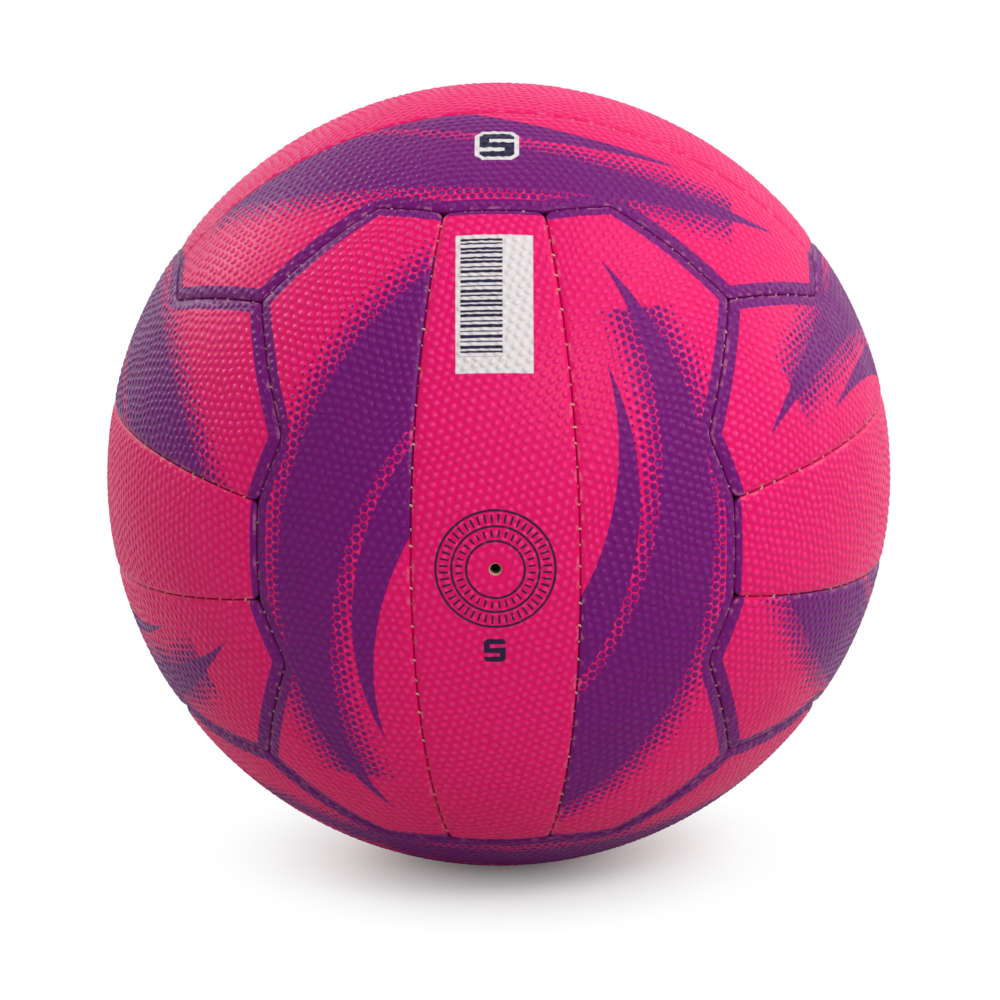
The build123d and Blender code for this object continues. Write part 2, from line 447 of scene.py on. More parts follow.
print(f"the sheet ends {edge_round} mm from the seams, give or take {trim_slack:.2f} mm")

# %% [markdown]
# ## Relief
# Near a seam the panel leaves the ball's surface. Its edge rolls over, a soft shoulder leads down to
# it, each stitch pulls a dent, and the pebbles fade out. All of that is one radius for each place.

# %% Height of the surface
seam_depth = 0.75
edge_shoulder = (0.28, 2.2)  # depth and reach of the slope beside every seam
border_shoulder = (0.4, 3.5)  # and of a wider one beside the cube's seams
dent_depth = 0.35
pebble_fade = 0.45
hole_fade = (0.6, 2.5)  # bare ring round the needle hole, then the width in which pebbles grow


def rolled_depth(distance):
    """Quarter ellipse: level where the bend begins, upright at the seam."""
    inward = 1 - np.clip(distance, 0, edge_round) / edge_round
    return seam_depth * (1 - np.sqrt(1 - inward**2))


def pebble_share(places, kind):
    """1 on the open panel, falling to 0 at its edge and round the needle hole."""
    share = np.clip((sheet_edge(places, kind) - edge_round) / pebble_fade, 0, 1)
    if kind.needle_hole:
        bare, grow = hole_fade
        share *= np.clip((np.hypot(*places.T) - kind.needle_hole - bare) / grow, 0, 1)
    return share


def slope_down(distance, depth, reach):
    """A depth that dies away exponentially with the distance from the seam."""
    return depth * np.exp(-np.maximum(distance, 0) / reach)


def surface_radius(places, crown, kind):
    """Ball radius less the rolled edge, soft shoulders and the dents, plus the pebbles."""
    points = on_ball(places, kind)
    distance = kind.edge(points)
    shoulder = slope_down(distance, *edge_shoulder)
    shoulder += slope_down(kind.border(points), *border_shoulder)
    dent = dent_depth * stitch_dent(points, kind) * slope_down(distance, 1, 1)
    low = ball_radius - pebble_height * (1 - crown * pebble_share(places, kind))
    return low - rolled_depth(distance) - shoulder - dent


print(f"edges roll over in {edge_round} mm and {seam_depth} mm down")

# %% [markdown]
# ## Rings of points
# A border can be carried along a profile: at each step it becomes a new ring of points, and two
# triangles for each of its edges join the rings. Where two rings have different counts, as round the
# needle hole, each takes turns to advance by angle.

# %% Join rings into a solid


def ring_strips(rings, edges):
    """Two triangles for each border edge between every two neighbouring rings of point numbers."""
    strips = []
    for outer, inner in zip(rings[:-1], rings[1:]):
        a, b = outer[edges[:, 0]], outer[edges[:, 1]]
        c, d = inner[edges[:, 1]], inner[edges[:, 0]]
        strips += [np.stack([b, a, c], -1), np.stack([a, d, c], -1)]
    return np.concatenate(strips)


def bridge(ring, ring_angles, small, small_angles):
    """Triangles between two rings round one middle, each taking turns to advance by angle."""
    ring_order, small_order = np.argsort(ring_angles), np.argsort(small_angles)
    ring, ring_angles = ring[ring_order], ring_angles[ring_order]
    small, small_angles = small[small_order], small_angles[small_order]
    opposite = np.searchsorted(small_angles, np.roll(ring_angles, -1)) - 1
    first = np.stack([ring, np.roll(ring, -1), small[opposite]], -1)
    opposite = np.searchsorted(ring_angles, np.roll(small_angles, -1)) - 1
    second = np.stack([np.roll(small, -1), small, ring[opposite]], -1)
    return np.concatenate([first, second])


def edges_among(chosen, edges):
    """The edges of chosen points, numbered by each point's place among the chosen."""
    return (np.cumsum(chosen) - 1)[edges[chosen[edges[:, 0]]]]


class Solid:
    """Collects blocks of points and triangles for one mesh."""

    def __init__(self, kind):
        self.kind, self.places, self.radii, self.rows, self.triangles = kind, [], [], [], []
        self.count = 0

    def add(self, places, radii, rows=0.0):
        """Adds points on the flat sheet at their distance from the ball's centre."""
        self.places.append(places)
        self.radii.append(np.broadcast_to(radii, len(places)))
        self.rows.append(np.broadcast_to(rows, places.shape))
        numbers = self.count + np.arange(len(places))
        self.count += len(places)
        return numbers

    def fan(self, ring, edges, radius):
        """Triangles from each edge of a ring to one new point at the panel's middle."""
        middle = self.add(np.zeros((1, 2)), radius)[0]
        self.triangles.append(np.insert(ring[edges], 2, middle, axis=1))

    def points(self):
        """All points in space, in millimetres."""
        radii = np.concatenate(self.radii)
        return on_ball(np.concatenate(self.places), self.kind) * radii[:, None]


square = np.array([[0, 1], [1, 2], [2, 3], [3, 0]])
square_wall = ring_strips([np.arange(4), np.arange(4, 8)], square)
print(f"two rings of four points are joined by {len(square_wall)} triangles")

# %% [markdown]
# ## From sheet to panel
# A panel is more than its face. The edge rolls over into the seam, a flange goes down to the bladder,
# and the back lies on the lining. Each of these is a ring of the border. The last rings shrink to the
# middle and close the back, so the panel is a solid piece.

# %% One whole panel
cover_thickness, flange_depth = 1.0, 3.7
seam_shadow_gap = 0.02  # half the open crack at the bottom of a seam
roll_slopes, hole_slopes = np.radians([30, 54, 75]), np.radians([35, 65, 90])
back_inset = 1.8 * cover_thickness
back_shares = (0.5, 0.1)  # of the way out from the middle
back_radius, foot_radius = ball_radius - cover_thickness, ball_radius - flange_depth


def edge_rings(solid, border, places):
    """The border carried over the rolled edge, down the flange and along the back."""
    kind, rings = solid.kind, [border]
    for target in (*edge_round * (1 - np.sin(roll_slopes)), seam_shadow_gap):
        places = slide_to(places, target, kind)
        rings.append(solid.add(places, surface_radius(places, 0, kind)))
    rings.append(solid.add(places, foot_radius))
    for target, radius in ((cover_thickness, foot_radius), (back_inset, back_radius)):
        places = slide_to(places, target, kind)
        rings.append(solid.add(places, radius))
    for share in back_shares:
        rings.append(solid.add(places * share, back_radius))
    return rings, places * back_shares[-1]


def hole_rings(solid, border, spokes):
    """The needle hole's wall: a quarter round down from the face, then straight to the back."""
    hole, rings = solid.kind.needle_hole, [border]
    for slope in hole_slopes:
        radius = hole + hole_round * (1 - math.sin(slope))
        depth = pebble_height + hole_round * (1 - math.cos(slope))
        rings.append(solid.add(spokes * radius, ball_radius - depth))
    rings.append(solid.add(spokes * hole, back_radius))
    return rings


def panel_solid(kind, random):
    """Face, rolled edge, flange and back of one panel."""
    places, rows, crown, triangles, edges = pebbled_sheet(kind, random)
    solid = Solid(kind)
    border, edges = np.unique(edges, return_inverse=True)
    edges = edges.reshape(-1, 2)
    rim = kind.needle_hole + hole_round
    at_hole = np.hypot(*places[border].T) < 2 * rim
    outer, inner = border[~at_hole], border[at_hole]
    places[outer] = slide_to(places[outer], edge_round, kind)
    spokes = places[inner] / np.hypot(*places[inner].T)[:, None]
    places[inner] = spokes * rim
    face = solid.add(places, surface_radius(places, crown, kind), rows)
    solid.triangles.append(face[triangles])
    outer_edges = edges_among(~at_hole, edges)
    rings, last = edge_rings(solid, outer, places[outer])
    solid.triangles.append(ring_strips(rings, outer_edges))
    if kind.needle_hole:
        wall = hole_rings(solid, inner, spokes)
        solid.triangles.append(ring_strips(wall, edges_among(at_hole, edges)))
        angles = np.arctan2(*last.T), np.arctan2(*spokes.T)
        solid.triangles.append(bridge(rings[-1], angles[0], wall[-1], angles[1]))
    else:
        solid.fan(rings[-1], outer_edges[:, ::-1], back_radius)
    return solid


print(f"flanges go {flange_depth} mm down")

# %% [markdown]
# ## Into Blender
# A mesh takes whole arrays at once with foreach_set, which is far quicker than adding points one by
# one. It can also carry numbers for each point and flat maps, which the paint will read.

# %% Make a mesh from arrays


def make_mesh(name, points, triangles, numbers=None, maps=None):
    """A smooth mesh from points in millimetres, with numbers and flat maps per point."""
    mesh = bpy.data.meshes.new(name)
    mesh.vertices.add(len(points))
    mesh.vertices.foreach_set("co", (points * MM).astype(np.float32).ravel())
    mesh.loops.add(triangles.size)
    mesh.loops.foreach_set("vertex_index", triangles.astype(np.int32).ravel())
    mesh.polygons.add(len(triangles))
    mesh.polygons.foreach_set("loop_start", np.arange(0, triangles.size, 3, dtype=np.int32))
    mesh.polygons.foreach_set("use_smooth", np.ones(len(triangles), bool))
    for label, values in (numbers or {}).items():
        layer = mesh.attributes.new(label, "FLOAT", "POINT")
        layer.data.foreach_set("value", values.astype(np.float32))
    for label, flat in (maps or {}).items():
        layer = mesh.uv_layers.new(name=label)
        layer.data.foreach_set("uv", flat[triangles.ravel()].astype(np.float32).ravel())
    mesh.update(calc_edges=True)
    piece = bpy.data.objects.new(name, mesh)
    bpy.context.scene.collection.objects.link(piece)
    return piece


def triangle_count(pieces):
    """Triangles of several pieces together."""
    return sum(len(piece.data.polygons) for piece in pieces)


print("mesh maker ready")

# %% [markdown]
# ## Eighteen panels
# The six faces carry the same three strips, turned so that the strips of neighbouring faces run
# across each other. A turn is a matrix: its columns say where the front face's right, back and up go.
# Each panel carries its place on the flat sheet, its rows of pebbles and its distance from the seams.

# %% Make the eighteen panels
sheet_span = 250.0  # millimetres of sheet across the unit square of the map
directions = {
    "front": np.array([0, -1, 0]),
    "back": np.array([0, 1, 0]),
    "left": np.array([-1, 0, 0]),
    "right": np.array([1, 0, 0]),
    "top": np.array([0, 0, 1]),
    "bottom": np.array([0, 0, -1]),
    "upper": np.array([0, 0, 1]),
    "lower": np.array([0, 0, -1]),
}
face_sides = {
    "front": ("left", "right"),
    "back": ("left", "right"),
    "left": ("upper", "lower"),
    "right": ("upper", "lower"),
    "top": ("front", "back"),
    "bottom": ("front", "back"),
}


def face_turn(face, side):
    """Matrix whose columns carry the front face and its left side to another face and side."""
    normal, aside = directions[face], directions[side]
    return np.stack([-aside, -normal, np.cross(aside, normal)], axis=-1)


def dress_panel(name, kind, matrix, random):
    """One panel in its place, standing for the solid of the same name."""
    solid = panel_solid(kind, random)
    points = solid.points()
    away = unit(points)
    places = np.concatenate(solid.places)
    numbers = {
        "edge_mm": kind.edge(away),
        "border_mm": kind.border(away),
        "pebbled": pebble_share(places, kind),
    }
    maps = {"sheet": places / sheet_span + 0.5, "rows": np.concatenate(solid.rows)}
    triangles = np.concatenate(solid.triangles)
    piece = make_mesh(name + "_skin", points @ matrix.T, triangles, numbers, maps)
    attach(piece, "root")
    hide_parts(name + "_panel")
    return piece


panel_places = []
for face, sides in face_sides.items():
    for side in sides:
        panel_places.append((f"{face}_{side}", SidePanel, face_turn(face, side)))
    kind = ValvePanel if face == "front" else CentrePanel
    panel_places.append((f"{face}_centre", kind, face_turn(face, sides[0])))
random = np.random.default_rng(18)
skins = {place[0]: dress_panel(*place, random) for place in panel_places}
largest = max(len(skin.data.polygons) for skin in skins.values())
print(f"{len(skins)} panels, {triangle_count(skins.values())} triangles, {largest} in the largest")

# %% [markdown]
# ## Linings
# Under each rubber skin lies a cloth lining that turns down into the seams with it. Only its cut edge
# shows, inside the needle hole, so a light mesh will do: rays from the middle of the panel find its
# edge by halving, and the same rings of points go over the top, down the fold and back underneath.

# %% Line the panels
lining_thickness, lining_hole, lining_gap = 1.2, 1.5, 0.04
lining_rays, longest_ray, halvings = 180, 130.0, 24
top_inset, under_inset, inner_inset = 2.4, 2.2, 3.6  # from the edge to the bends of the fold
fold_drop = 1.0


def star_ring(kind, inset):
    """Points on rays from the middle where the edge distance has fallen to the inset."""
    turns = np.arange(lining_rays) * 2 * math.pi / lining_rays
    rays = np.stack([np.cos(turns), np.sin(turns)], -1)
    near, far = np.zeros((lining_rays, 1)), np.full((lining_rays, 1), longest_ray)
    for _ in range(halvings):
        half = (near + far) / 2
        inside = (sheet_edge(rays * half, kind) > inset)[:, None]
        near, far = np.where(inside, half, near), np.where(inside, far, half)
    return rays * near


def lining_solid(kind):
    """Top, fold and underside of one lining, open at the needle hole or closed at the middle."""
    solid = Solid(kind)
    top = back_radius - lining_gap
    low = top - lining_thickness
    outer, fold = star_ring(kind, top_inset), star_ring(kind, cover_thickness + lining_gap)
    under, inner = star_ring(kind, under_inset), star_ring(kind, inner_inset)
    steps = [(outer / 2, top), (outer, top), (fold, top - fold_drop), (fold, foot_radius)]
    steps += [(under, foot_radius), (inner, low), (inner / 2, low)]
    if kind.needle_hole:
        hole = unit(outer) * lining_hole
        steps = [(hole, low), (hole, top), *steps]
    rings = [solid.add(*step) for step in steps]
    order = np.arange(lining_rays)
    edges = np.stack([order, np.roll(order, -1)], -1)
    if kind.needle_hole:
        rings.append(rings[0])
    else:
        solid.fan(rings[0], edges, top)
        solid.fan(rings[-1], edges[:, ::-1], low)
    solid.triangles.append(ring_strips(rings, edges))
    return solid


def line_panel(name, kind, matrix):
    """One lining in its place, standing for the solid of the same name."""
    solid = lining_solid(kind)
    piece = make_mesh(name + "_cloth", solid.points() @ matrix.T, np.concatenate(solid.triangles))
    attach(piece, "root")
    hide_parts(name + "_lining")
    return piece


linings = [line_panel(*place) for place in panel_places]
print(f"{len(linings)} linings, {triangle_count(linings)} triangles")

# %% [markdown]
# ## Thread
# A thread is a circle carried along a path. Curve objects with a bevel would do the same, but hundreds
# of small tubes are lighter as one mesh, and arrays can hold all paths of a seam at once.

# %% Tubes along paths
thread_sides = 5


def tubes(paths, reference, radius):
    """Closed tubes: a ring of points round every path, square to its direction, with capped ends."""
    ahead = unit(np.gradient(paths, axis=1))
    outward = unit(np.cross(ahead, reference))
    beside = np.cross(ahead, outward)
    turns = np.arange(thread_sides) * 2 * math.pi / thread_sides
    ring = (
        outward[:, :, None] * np.cos(turns)[:, None] + beside[:, :, None] * np.sin(turns)[:, None]
    )
    points = (paths[:, :, None] + radius * ring).reshape(-1, 3)
    strands, steps = paths.shape[:2]
    start = np.arange(strands)[:, None, None] * steps * thread_sides
    row = start + np.arange(steps - 1)[:, None] * thread_sides
    a, b = row + np.arange(thread_sides), row + np.roll(np.arange(thread_sides), -1)
    c, d = b + thread_sides, a + thread_sides
    cap = np.arange(1, thread_sides - 1)
    first = start[:, 0] + np.zeros_like(cap)
    last = first + (steps - 1) * thread_sides
    corners = [
        (a, b, c),
        (a, c, d),
        (first, first + cap + 1, first + cap),
        (last, last + cap, last + cap + 1),
    ]
    triangles = np.concatenate([np.stack(three, -1).reshape(-1, 3) for three in corners])
    along = np.broadcast_to(np.linspace(0, 1, steps)[:, None], (strands, steps, thread_sides))
    around = np.broadcast_to(np.arange(thread_sides) / thread_sides, along.shape)
    return points, triangles, np.stack([along, around], -1).reshape(-1, 2)


print(f"tubes have {thread_sides} sides")

# %% [markdown]
# ## Sewing
# Only short bits of the thread show, where it arches over the crack between two edges. Each stitch is
# one small tube along an arch: it comes up through one flange, crosses on a slant and goes down
# through the other. Two long runs lie hidden along the flanges and tie the stitches together.

# %% Sew the seams
thread_radius, run_depth, run_offset = 0.32, 2.65, 2.65
strip_arch_depths, edge_arch_depths = (0.95, 1.5), (1.5, 1.9)
arch_steps, arch_half_width, arch_power = 6, 1.15, 0.7
slants = (0.1, 0.8)


def seam_tubes(seam, arch_depths, random):
    """The stitches, each pulled down by its own amount, and the two runs of one seam."""
    normal = unit(np.cross(*seam))
    angles = stitch_distances(seam) / ball_radius
    sideways = np.cross(normal, seam[0])

    def outwards(angle):
        """Directions in the seam's plane at angles from its first corner."""
        return np.cos(angle)[:, None] * seam[0] + np.sin(angle)[:, None] * sideways

    middle = outwards(angles)
    ahead = np.cross(normal, middle)
    swing = np.linspace(0, math.pi, arch_steps)
    arch_depth = random.uniform(*arch_depths, (len(angles), 1))
    slant = random.uniform(*slants, (len(angles), 1))
    rise = run_depth - (run_depth - arch_depth) * np.sin(swing) ** arch_power
    arches = (
        middle[:, None] * (ball_radius - rise)[..., None]
        + normal * np.cos(swing)[:, None] * arch_half_width
        + ahead[:, None] * (np.cos(swing) * slant)[..., None]
    )
    blocks = [tubes(arches, ahead[:, None], thread_radius)]
    for offset in (-run_offset, run_offset):
        run = outwards(np.linspace(angles[0], angles[-1], 2 * len(angles)))
        path = run * (ball_radius - run_depth) + normal * offset
        blocks.append(tubes(path[None], normal, thread_radius))
    return blocks


def dress_thread(name, node, seams, matrices, arch_depths):
    """One piece of thread for several seams, standing for the solid thread in the same seams."""
    points, triangles, flat, count = [], [], [], 0
    for matrix in matrices:
        for seam in seams:
            for block_points, block_triangles, block_flat in seam_tubes(seam, arch_depths, random):
                points.append(block_points @ matrix.T)
                triangles.append(block_triangles + count)
                flat.append(block_flat)
                count += len(block_points)
    maps = {"twist": np.concatenate(flat)}
    piece = make_mesh(name, np.concatenate(points), np.concatenate(triangles), maps=maps)
    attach(piece, "root")
    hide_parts(node)
    return piece


threads = []
for face, sides in face_sides.items():
    turns = [face_turn(face, side) for side in sides]
    for side, matrix in zip(sides, turns):
        name = f"{face}_{side}_edge"
        threads.append(
            dress_thread(name + "_stitches", name + "_thread", waist_seams, [matrix], edge_arch_depths)
        )
    name = f"{face}_strip"
    threads.append(
        dress_thread(name + "_stitches", name + "_threads", [strip_seam], turns, strip_arch_depths)
    )
print(f"{len(threads)} threads, {triangle_count(threads)} triangles")

# %% [markdown]
# ## Writing paint as sums
# A material is a graph of nodes, and long graphs are hard to read when every link is written out. The
# small class below wraps a socket, so that sums, products and comparisons of sockets can be written
# like ordinary arithmetic. Each operator adds one Math node, or two for a number less a socket.

# %% A socket that can be added and multiplied


class Paint:
    """A number in a material's node graph."""

    def __init__(self, tree, socket=None):
        self.tree, self.socket = tree, socket

    def plug(self, made, sockets):
        """A node's sockets take values or links."""
        for key, value in sockets.items():
            if isinstance(value, Paint):
                self.tree.links.new(value.socket, made.inputs[key])
            else:
                made.inputs[key].default_value = value

    def node(self, kind, settings=None, sockets=None):
        """Any node: its settings are set first, then its sockets take values or links."""
        made = self.tree.nodes.new(kind)
        for key, value in (settings or {}).items():
            setattr(made, key, value)
        self.plug(made, sockets or {})
        return made

    def out(self, made, key=0):
        """One output of a node as a number."""
        return Paint(self.tree, made.outputs[key])

    def split(self, made, key=0):
        """The three coordinates of a node's vector."""
        parts = self.node("ShaderNodeSeparateXYZ", None, {"Vector": self.out(made, key)})
        return [self.out(parts, axis) for axis in "XYZ"]

    def math(self, operation, *others):
        """A Math node on this number and others."""
        sockets = dict(enumerate((self, *others)))
        return self.out(self.node("ShaderNodeMath", {"operation": operation}, sockets))

    def __add__(self, other):
        return self.math("ADD", other)

    __radd__ = __add__

    def __mul__(self, other):
        return self.math("MULTIPLY", other)

    __rmul__ = __mul__

    def __sub__(self, other):
        return self.math("SUBTRACT", other)

    def __rsub__(self, other):
        return self * -1 + other

    def __truediv__(self, other):
        return self.math("DIVIDE", other)

    def __abs__(self):
        return self.math("ABSOLUTE")

    def least(self, other):
        """The smaller of two numbers."""
        return self.math("MINIMUM", other)

    def most(self, other):
        """The larger of two numbers."""
        return self.math("MAXIMUM", other)

    def ramp(self, low, high):
        """0 below the first number, 1 above the second, smooth between them."""
        settings = {"interpolation_type": "SMOOTHSTEP"}
        sockets = {"Value": self, "From Min": low, "From Max": high}
        return self.out(self.node("ShaderNodeMapRange", settings, sockets))

    def blend(self, first, second):
        """Colour between two others, by this number from 0 to 1."""
        sockets = {0: self, 6: first, 7: second}
        return self.out(self.node("ShaderNodeMix", {"data_type": "RGBA"}, sockets), 2)


print("sums add nodes")

# %% [markdown]
# ## Helpers for every material
# Each material starts from Blender's Principled shader. Noise on Object coordinates stays with the
# piece, and colours are written as they look on a screen, while shaders reckon in amounts of light.

# %% Materials, noise, bumps and colours


def new_material(name):
    """A fresh material, its surface shader and a first socket to start sums from."""
    material = bpy.data.materials.new(name)
    material.use_nodes = True
    tree = material.node_tree
    return material, tree.nodes["Principled BSDF"], Paint(tree)


def noise(start, scale, detail=2.0):
    """Cloudy noise on the object's own coordinates, from 0 to 1."""
    coordinates = start.out(start.node("ShaderNodeTexCoord"), "Object")
    sockets = {"Vector": coordinates, "Scale": scale, "Detail": detail}
    return start.out(start.node("ShaderNodeTexNoise", None, sockets), "Fac")


def bumped(start, height, strength, distance):
    """The surface's normal, tilted by the slope of a height."""
    sockets = {"Strength": strength, "Distance": distance, "Height": height}
    return start.out(start.node("ShaderNodeBump", None, sockets), "Normal")


def colour(red, green, blue):
    """Eight-bit screen colour as the linear colour that shaders use."""
    screen = np.array([red, green, blue]) / 255
    linear = np.where(screen < 0.04045, screen / 12.92, ((screen + 0.055) / 1.055) ** 2.4)
    return (*linear, 1.0)


print(f"a middle grey on the screen is {colour(128, 128, 128)[0]:.2f} of the light of white")

# %% [markdown]
# ## Drawing on the sheet
# The print follows the cut sheet, so it is drawn in millimetres on each panel's flat map. A shape is a
# distance that is positive on one side of its outline, and a narrow ramp turns it into ink. An image
# would blur up close, while such a distance gives crisp edges at any zoom.

# %% Shapes on a panel's flat map
print_edge = 0.14


class Sheet:
    """Places on a panel's flat map, and shapes drawn there."""

    def __init__(self, start):
        self.start = start
        x, y, _ = start.split(start.node("ShaderNodeUVMap", {"uv_map": "sheet"}))
        self.along, self.across = (x - 0.5) * sheet_span, (y - 0.5) * sheet_span

    def number(self, label):
        """A number that the mesh carries."""
        return self.start.out(self.start.node("ShaderNodeAttribute", {"attribute_name": label}), "Fac")

    def pebbles(self):
        """Crowns from 0 to 1, from the squared distance to the nearest crossing of the pebble rows."""
        rows = self.start.split(self.start.node("ShaderNodeUVMap", {"uv_map": "rows"}))
        x, y = (row.math("FRACT") for row in rows[:2])
        corners = [(x - corner_x, y - corner_y) for corner_x, corner_y in cell_corners]
        nearest = reduce(Paint.least, [i * i + i * j + j * j for i, j in corners])
        crown = (1 - nearest * (pebble_pitch / pebble_radius) ** 2).most(0.0)
        return crown * self.number("pebbled")

    def inside(self, distance):
        """1 where a distance is positive, with a narrow soft edge."""
        return distance.ramp(-print_edge, print_edge)

    def from_point(self, along, across):
        """Distance from a point."""
        x, y = self.along - along, self.across - across
        return (x * x + y * y).math("SQRT")

    def sickle(self, outer, inner):
        """Inside one circle and outside another, each given as along, across and radius."""
        return (outer[2] - self.from_point(*outer[:2])).least(self.from_point(*inner[:2]) - inner[2])

    def dots(self, pitch, radius):
        """Round dots in staggered rows, whose radius may vary."""
        row_pitch, away = pitch * math.sqrt(3), []
        for shift in (0.0, 0.5):
            x = ((self.along / pitch + shift).math("FRACT") - 0.5) * pitch
            y = ((self.across / row_pitch + shift).math("FRACT") - 0.5) * row_pitch
            away.append((x * x + y * y).math("SQRT"))
        return self.inside(radius - reduce(Paint.least, away))

    def bar(self, right, up, middle, half):
        """Distance outside an upright bar, in the directions in which the print is read."""
        return (abs(right - middle[0]) - half[0]).most(abs(up - middle[1]) - half[1])

    def figure_five(self, right, up, middle, size):
        """Distance outside a plain figure 5: five bars, with the outer corners cut off."""
        width, height, stroke = size
        right, up = right - middle[0], up - middle[1]
        side, top = (width - stroke) / 2, (height - stroke) / 2
        level, upright = (width / 2, stroke / 2), (stroke / 2, height / 4)
        bars = [((0, row), level) for row in (top, 0, -top)]
        bars += [((-side, height / 4), upright), ((side, -height / 4), upright)]
        shape = reduce(Paint.least, [self.bar(right, up, *bar) for bar in bars])
        cut_corners = (abs(right) + abs(up) - (width + height - stroke) / 2) * math.sqrt(0.5)
        return shape.most(cut_corners)


print(f"prints are sharp to {2 * print_edge} mm")

# %% [markdown]
# ## The print
# The skin is pink rubber with one purple ink: a plain band along the outer seams, long curved sweeps,
# and round dots that shrink as they leave the sweeps. Overlapping shapes take the larger of the two.

# %% Purple ink
side_band, centre_band = 3.6, 2.0
wide_sweep = ((-10, -135, 151), (-42, -152, 154))  # two circles: along, across, radius
slim_sweep = ((-24, -118, 112), (-46, -128, 118))
dot_pitch, dot_radius, dot_reach, dots_begin = 2.4, 1.1, 14, -70


def side_print(sheet):
    """Purple on a side panel: a border band, two sweeps and a fade of dots."""
    band = sheet.inside(side_band - sheet.number("border_mm"))
    wide, slim = sheet.sickle(*wide_sweep), sheet.sickle(*slim_sweep)
    fade = sheet.dots(dot_pitch, wide.ramp(-dot_reach, 0) * dot_radius)
    fade = fade * sheet.inside(sheet.along - dots_begin)
    return band.most(sheet.inside(wide)).most(sheet.inside(slim)).most(fade)


def centre_print(sheet):
    """Purple on a centre panel: a narrow band at its two ends."""
    return sheet.inside(centre_band - sheet.number("border_mm"))


print(f"dots every {dot_pitch} mm, at most {2 * dot_radius} mm wide")

# %% [markdown]
# ## Small marks
# The valve panel carries a white patch with plain bars, rings with ticks between them round the needle
# hole, and the ball's size. The size stands again on top, turned to be read from the front. A mark is
# a mask and its colour, painted over the print in turn.

# %% Marks on the valve panel and on top
ink, patch_white = colour(32, 26, 60), colour(226, 219, 220)
patch_middle, patch_half = (0.1, 74.3), (10.5, 21.0)
block_middle, block_half = (-3.4, 76.0), (5.7, 18.0)
bar_pitch, bar_half, bar_change, change_step = 1.5, 0.36, 0.2, 1.9
ring_radii, ring_line = (16.2, 11.9, 7.9), 0.33
tick_rings, tick_half = ((14.05, 1.2, 48), (9.9, 0.95, 32)), 0.3  # radius, half length, count
valve_figure = ((-0.4, -23.2), (5.9, 6.9, 1.6))  # middle, then width, height and stroke
top_figure, figure_outline = ((0.7, 3.4), (9.6, 11.6, 2.7)), 1.3


def valve_marks(sheet):
    """A white patch with plain bars, rings round the needle hole with ticks, and the size figure."""
    right, up = sheet.across * -1, sheet.along
    patch = sheet.bar(right, up, patch_middle, patch_half)
    block = sheet.bar(right, up, block_middle, block_half)
    half = (up * change_step).math("SINE") * bar_change + bar_half
    bars = half - abs((up / bar_pitch).math("FRACT") - 0.5) * bar_pitch
    shapes = [bars.least(block * -1)]
    radius = sheet.from_point(0, 0)
    shapes += [ring_line - abs(radius - ring) for ring in ring_radii]
    angle = up.math("ARCTAN2", right)
    for middle, length, count in tick_rings:
        turn_share = (angle * (count / (2 * math.pi))).math("FRACT") - 0.5
        tick = tick_half - abs(turn_share) * (2 * math.pi * middle / count)
        shapes.append(tick.least(length - abs(radius - middle)))
    shapes.append(sheet.figure_five(right, up, *valve_figure) * -1)
    return [(sheet.inside(patch * -1), patch_white)] + [(sheet.inside(shape), ink) for shape in shapes]


def top_marks(sheet):
    """The size figure with a white outline, turned to be read from the front."""
    five = sheet.figure_five(sheet.along * -1, sheet.across * -1, *top_figure)
    return [(sheet.inside(figure_outline - five), patch_white), (sheet.inside(five * -1), ink)]


print(f"{len(ring_radii)} rings and {sum(ring[2] for ring in tick_rings)} ticks")

# %% [markdown]
# ## Printed rubber
# Rubber is neither shiny nor dead flat. Its roughness sits near the middle and wanders a little. A bump
# from the same rows rounds off the pebbles, whose mesh is coarse up close, and a very fine one breaks
# up the highlights between them. The crowns get a painted highlight and the hollows painted shade, the
# lips of the seams are rubbed pale in spots, and the colour darkens at the bottom of each crack.

# %% Skin materials
pink, pink_cloud = colour(240, 12, 108), colour(226, 10, 96)
purple, purple_cloud = colour(116, 12, 116), colour(104, 12, 106)
# Painted shade for the hollows between the pebbles, and a painted highlight for their crowns.
painted_hollow_shade, crown_highlight_tint = colour(110, 4, 56), colour(255, 112, 210)
# A pale rub for the lips of the seams, and a darker colour for the bottom of each crack.
lip_rub, seam_dark_colour = colour(244, 150, 182), colour(96, 6, 44)
cloud_scale, cloud_detail, rub_scale, grain_scale = 55.0, 3.0, 420.0, 2600.0
cloud_share, painted_shade_share, rub_share, seam_dark_share = 0.6, 0.06, 0.3, 0.45
crown_highlight_share, highlight_loss_on_print = 0.13, 0.09
lip_rise, lip_fall, seam_dark_end = (0.2, 0.5), (0.7, 1.5), (0.0, 0.5)  # distances from the seam
rub_spots = (0.5, 0.66)  # of the noise: bare below the first, rubbed above the second
rubber_roughness, cloud_roughness, crown_polish, rubber_specular = 0.36, 0.1, 0.06, 0.13
grain_share, bump_distance = 0.06, 0.00022


